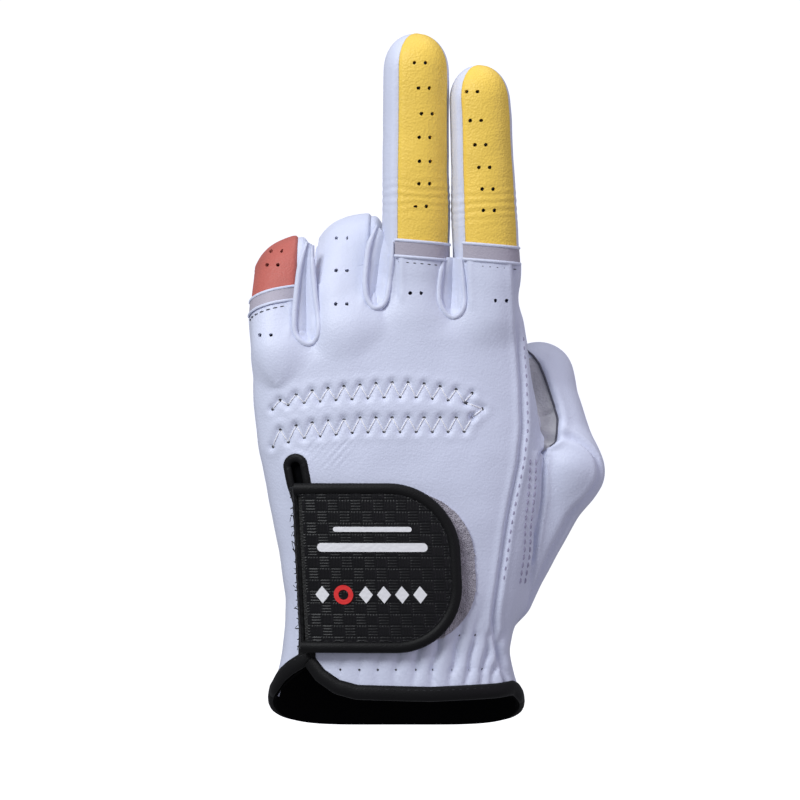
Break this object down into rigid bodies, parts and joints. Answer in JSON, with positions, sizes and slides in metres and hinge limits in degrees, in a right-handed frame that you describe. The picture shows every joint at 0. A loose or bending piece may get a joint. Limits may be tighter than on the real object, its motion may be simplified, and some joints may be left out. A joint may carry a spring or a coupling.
{
  "type": "golf glove",
  "caption": "Left-hand leather golf glove in a worn pose, two fingers straight and the others curled, with a hook-and-loop wrist tab",
  "frame": {"origin": "centre of the wrist opening, level with the lowest point of the cuff", "axes": "+Z from the cuff to the fingertips, -Y out of the back of the hand, +X towards the thumb"},
  "size_m": [0.1046, 0.0606, 0.2091],
  "materials": {
    "white_leather": "soft matt sheepskin with fine creases",
    "pearl_leather": "soft matt sheepskin, slightly greyer, on the palm and thumb",
    "yellow_leather": "matt pebbled leather, perforated",
    "red_leather": "matt pebbled leather, perforated",
    "grey_band": "flat lavender-grey print with thin white edges",
    "black_embossed": "satin synthetic leather embossed with a basket weave",
    "black_binding": "matt stretch binding tape",
    "loop_pile": "fuzzy loop pile",
    "hook": "stiff hook tape",
    "elastic": "ribbed woven elastic",
    "white_thread": "twisted polyester thread",
    "black_thread": "twisted polyester thread"
  },
  "bodies": {
    "hand": {"back_panel": "white_leather", "ulnar_panel": "white_leather", "palm_panel": "pearl_leather", "index_side_strip": "pearl_leather", "thumb_gusset_back": "pearl_leather", "thumb_gusset_palm": "pearl_leather", "web_little_ring": "white_leather", "web_ring_middle": "white_leather", "web_middle_index": "white_leather", "knuckle_elastic": "elastic", "wrist_elastic": "elastic", "knuckle_zigzag_thread": "white_thread", "loop_patch": "loop_pile", "slit_binding": "black_binding", "cuff_binding": "black_binding", "cuff_facing": "black_binding"},
    "closure_tab": {"tab_cover": "black_embossed", "tab_binding": "black_binding", "tab_hook_pad": "hook", "tab_hinge_thread": "black_thread"},
    "index_lower": {"index_lower_back": "white_leather", "index_lower_palm": "pearl_leather", "index_lower_fourchettes": "white_leather", "index_band": "grey_band"},
    "index_upper": {"index_upper_back": "yellow_leather", "index_upper_palm": "pearl_leather", "index_upper_fourchettes": "white_leather"},
    "middle_lower": {"middle_lower_back": "white_leather", "middle_lower_palm": "pearl_leather", "middle_lower_fourchettes": "white_leather", "middle_band": "grey_band"},
    "middle_upper": {"middle_upper_back": "yellow_leather", "middle_upper_palm": "pearl_leather", "middle_upper_fourchettes": "white_leather"},
    "ring_lower": {"ring_lower_back": "white_leather", "ring_lower_palm": "pearl_leather", "ring_lower_fourchettes": "white_leather"},
    "ring_upper": {"ring_upper_back": "white_leather", "ring_upper_palm": "pearl_leather", "ring_upper_fourchettes": "white_leather"},
    "little_lower": {"little_lower_back": "white_leather", "little_lower_palm": "pearl_leather", "little_lower_fourchettes": "white_leather", "little_band": "grey_band"},
    "little_upper": {"little_upper_back": "red_leather", "little_upper_palm": "pearl_leather", "little_upper_fourchettes": "white_leather"},
    "thumb_lower": {"thumb_lower_back": "pearl_leather", "thumb_lower_palm": "pearl_leather", "thumb_lower_sides": "pearl_leather"},
    "thumb_upper": {"thumb_upper_back": "pearl_leather", "thumb_upper_palm": "pearl_leather", "thumb_upper_sides": "pearl_leather"}
  },
  "joints": [
    {"name": "index_root", "type": "hinge", "parent": "hand", "child": "index_lower", "pos_m": [0.0272, -0.0012, 0.129], "axis": [-0.9993, 0, -0.0384], "range_deg": [0, 45]},
    {"name": "index_middle_joint", "type": "hinge", "parent": "index_lower", "child": "index_upper", "pos_m": [0.0262, -0.0012, 0.15498], "axis": [-0.9993, 0, -0.0384], "range_deg": [0, 60]},
    {"name": "middle_root", "type": "hinge", "parent": "hand", "child": "middle_lower", "pos_m": [0.0055, -0.0012, 0.131], "axis": [-1, 0, 0.0035], "range_deg": [0, 45]},
    {"name": "middle_finger_middle_joint", "type": "hinge", "parent": "middle_lower", "child": "middle_upper", "pos_m": [0.00559, -0.0012, 0.158], "axis": [-1, 0, 0.0035], "range_deg": [0, 60]},
    {"name": "ring_root", "type": "hinge", "parent": "hand", "child": "ring_lower", "pos_m": [-0.0156, -0.001, 0.125], "axis": [-1, 0, 0], "range_deg": [-25, 8]},
    {"name": "ring_middle_joint", "type": "hinge", "parent": "ring_lower", "child": "ring_upper", "pos_m": [-0.0156, 0.0083, 0.14494], "axis": [-1, 0, 0], "range_deg": [-86, 0]},
    {"name": "little_root", "type": "hinge", "parent": "hand", "child": "little_lower", "pos_m": [-0.0357, -0.0004, 0.118], "axis": [-0.9993, 0, 0.0384], "range_deg": [-28, 6]},
    {"name": "little_middle_joint", "type": "hinge", "parent": "little_lower", "child": "little_upper", "pos_m": [-0.0349, 0.0116, 0.13877], "axis": [-0.9993, 0, 0.0384], "range_deg": [-86, 0]},
    {"name": "thumb_root", "type": "hinge", "parent": "hand", "child": "thumb_lower", "pos_m": [0.0518, 0.0084, 0.077], "axis": [0, 1, 0], "range_deg": [0, 30]},
    {"name": "thumb_tip_joint", "type": "hinge", "parent": "thumb_lower", "child": "thumb_upper", "pos_m": [0.0415, 0.024, 0.107], "axis": [0.291, 0.8861, -0.3608], "range_deg": [0, 75]},
    {"name": "tab_peel", "type": "hinge", "parent": "hand", "child": "closure_tab", "pos_m": [-0.02969, -0.01158, 0.0482], "axis": [0.0599, 0.004, -0.9982], "range_deg": [0, 120]}
  ]
}
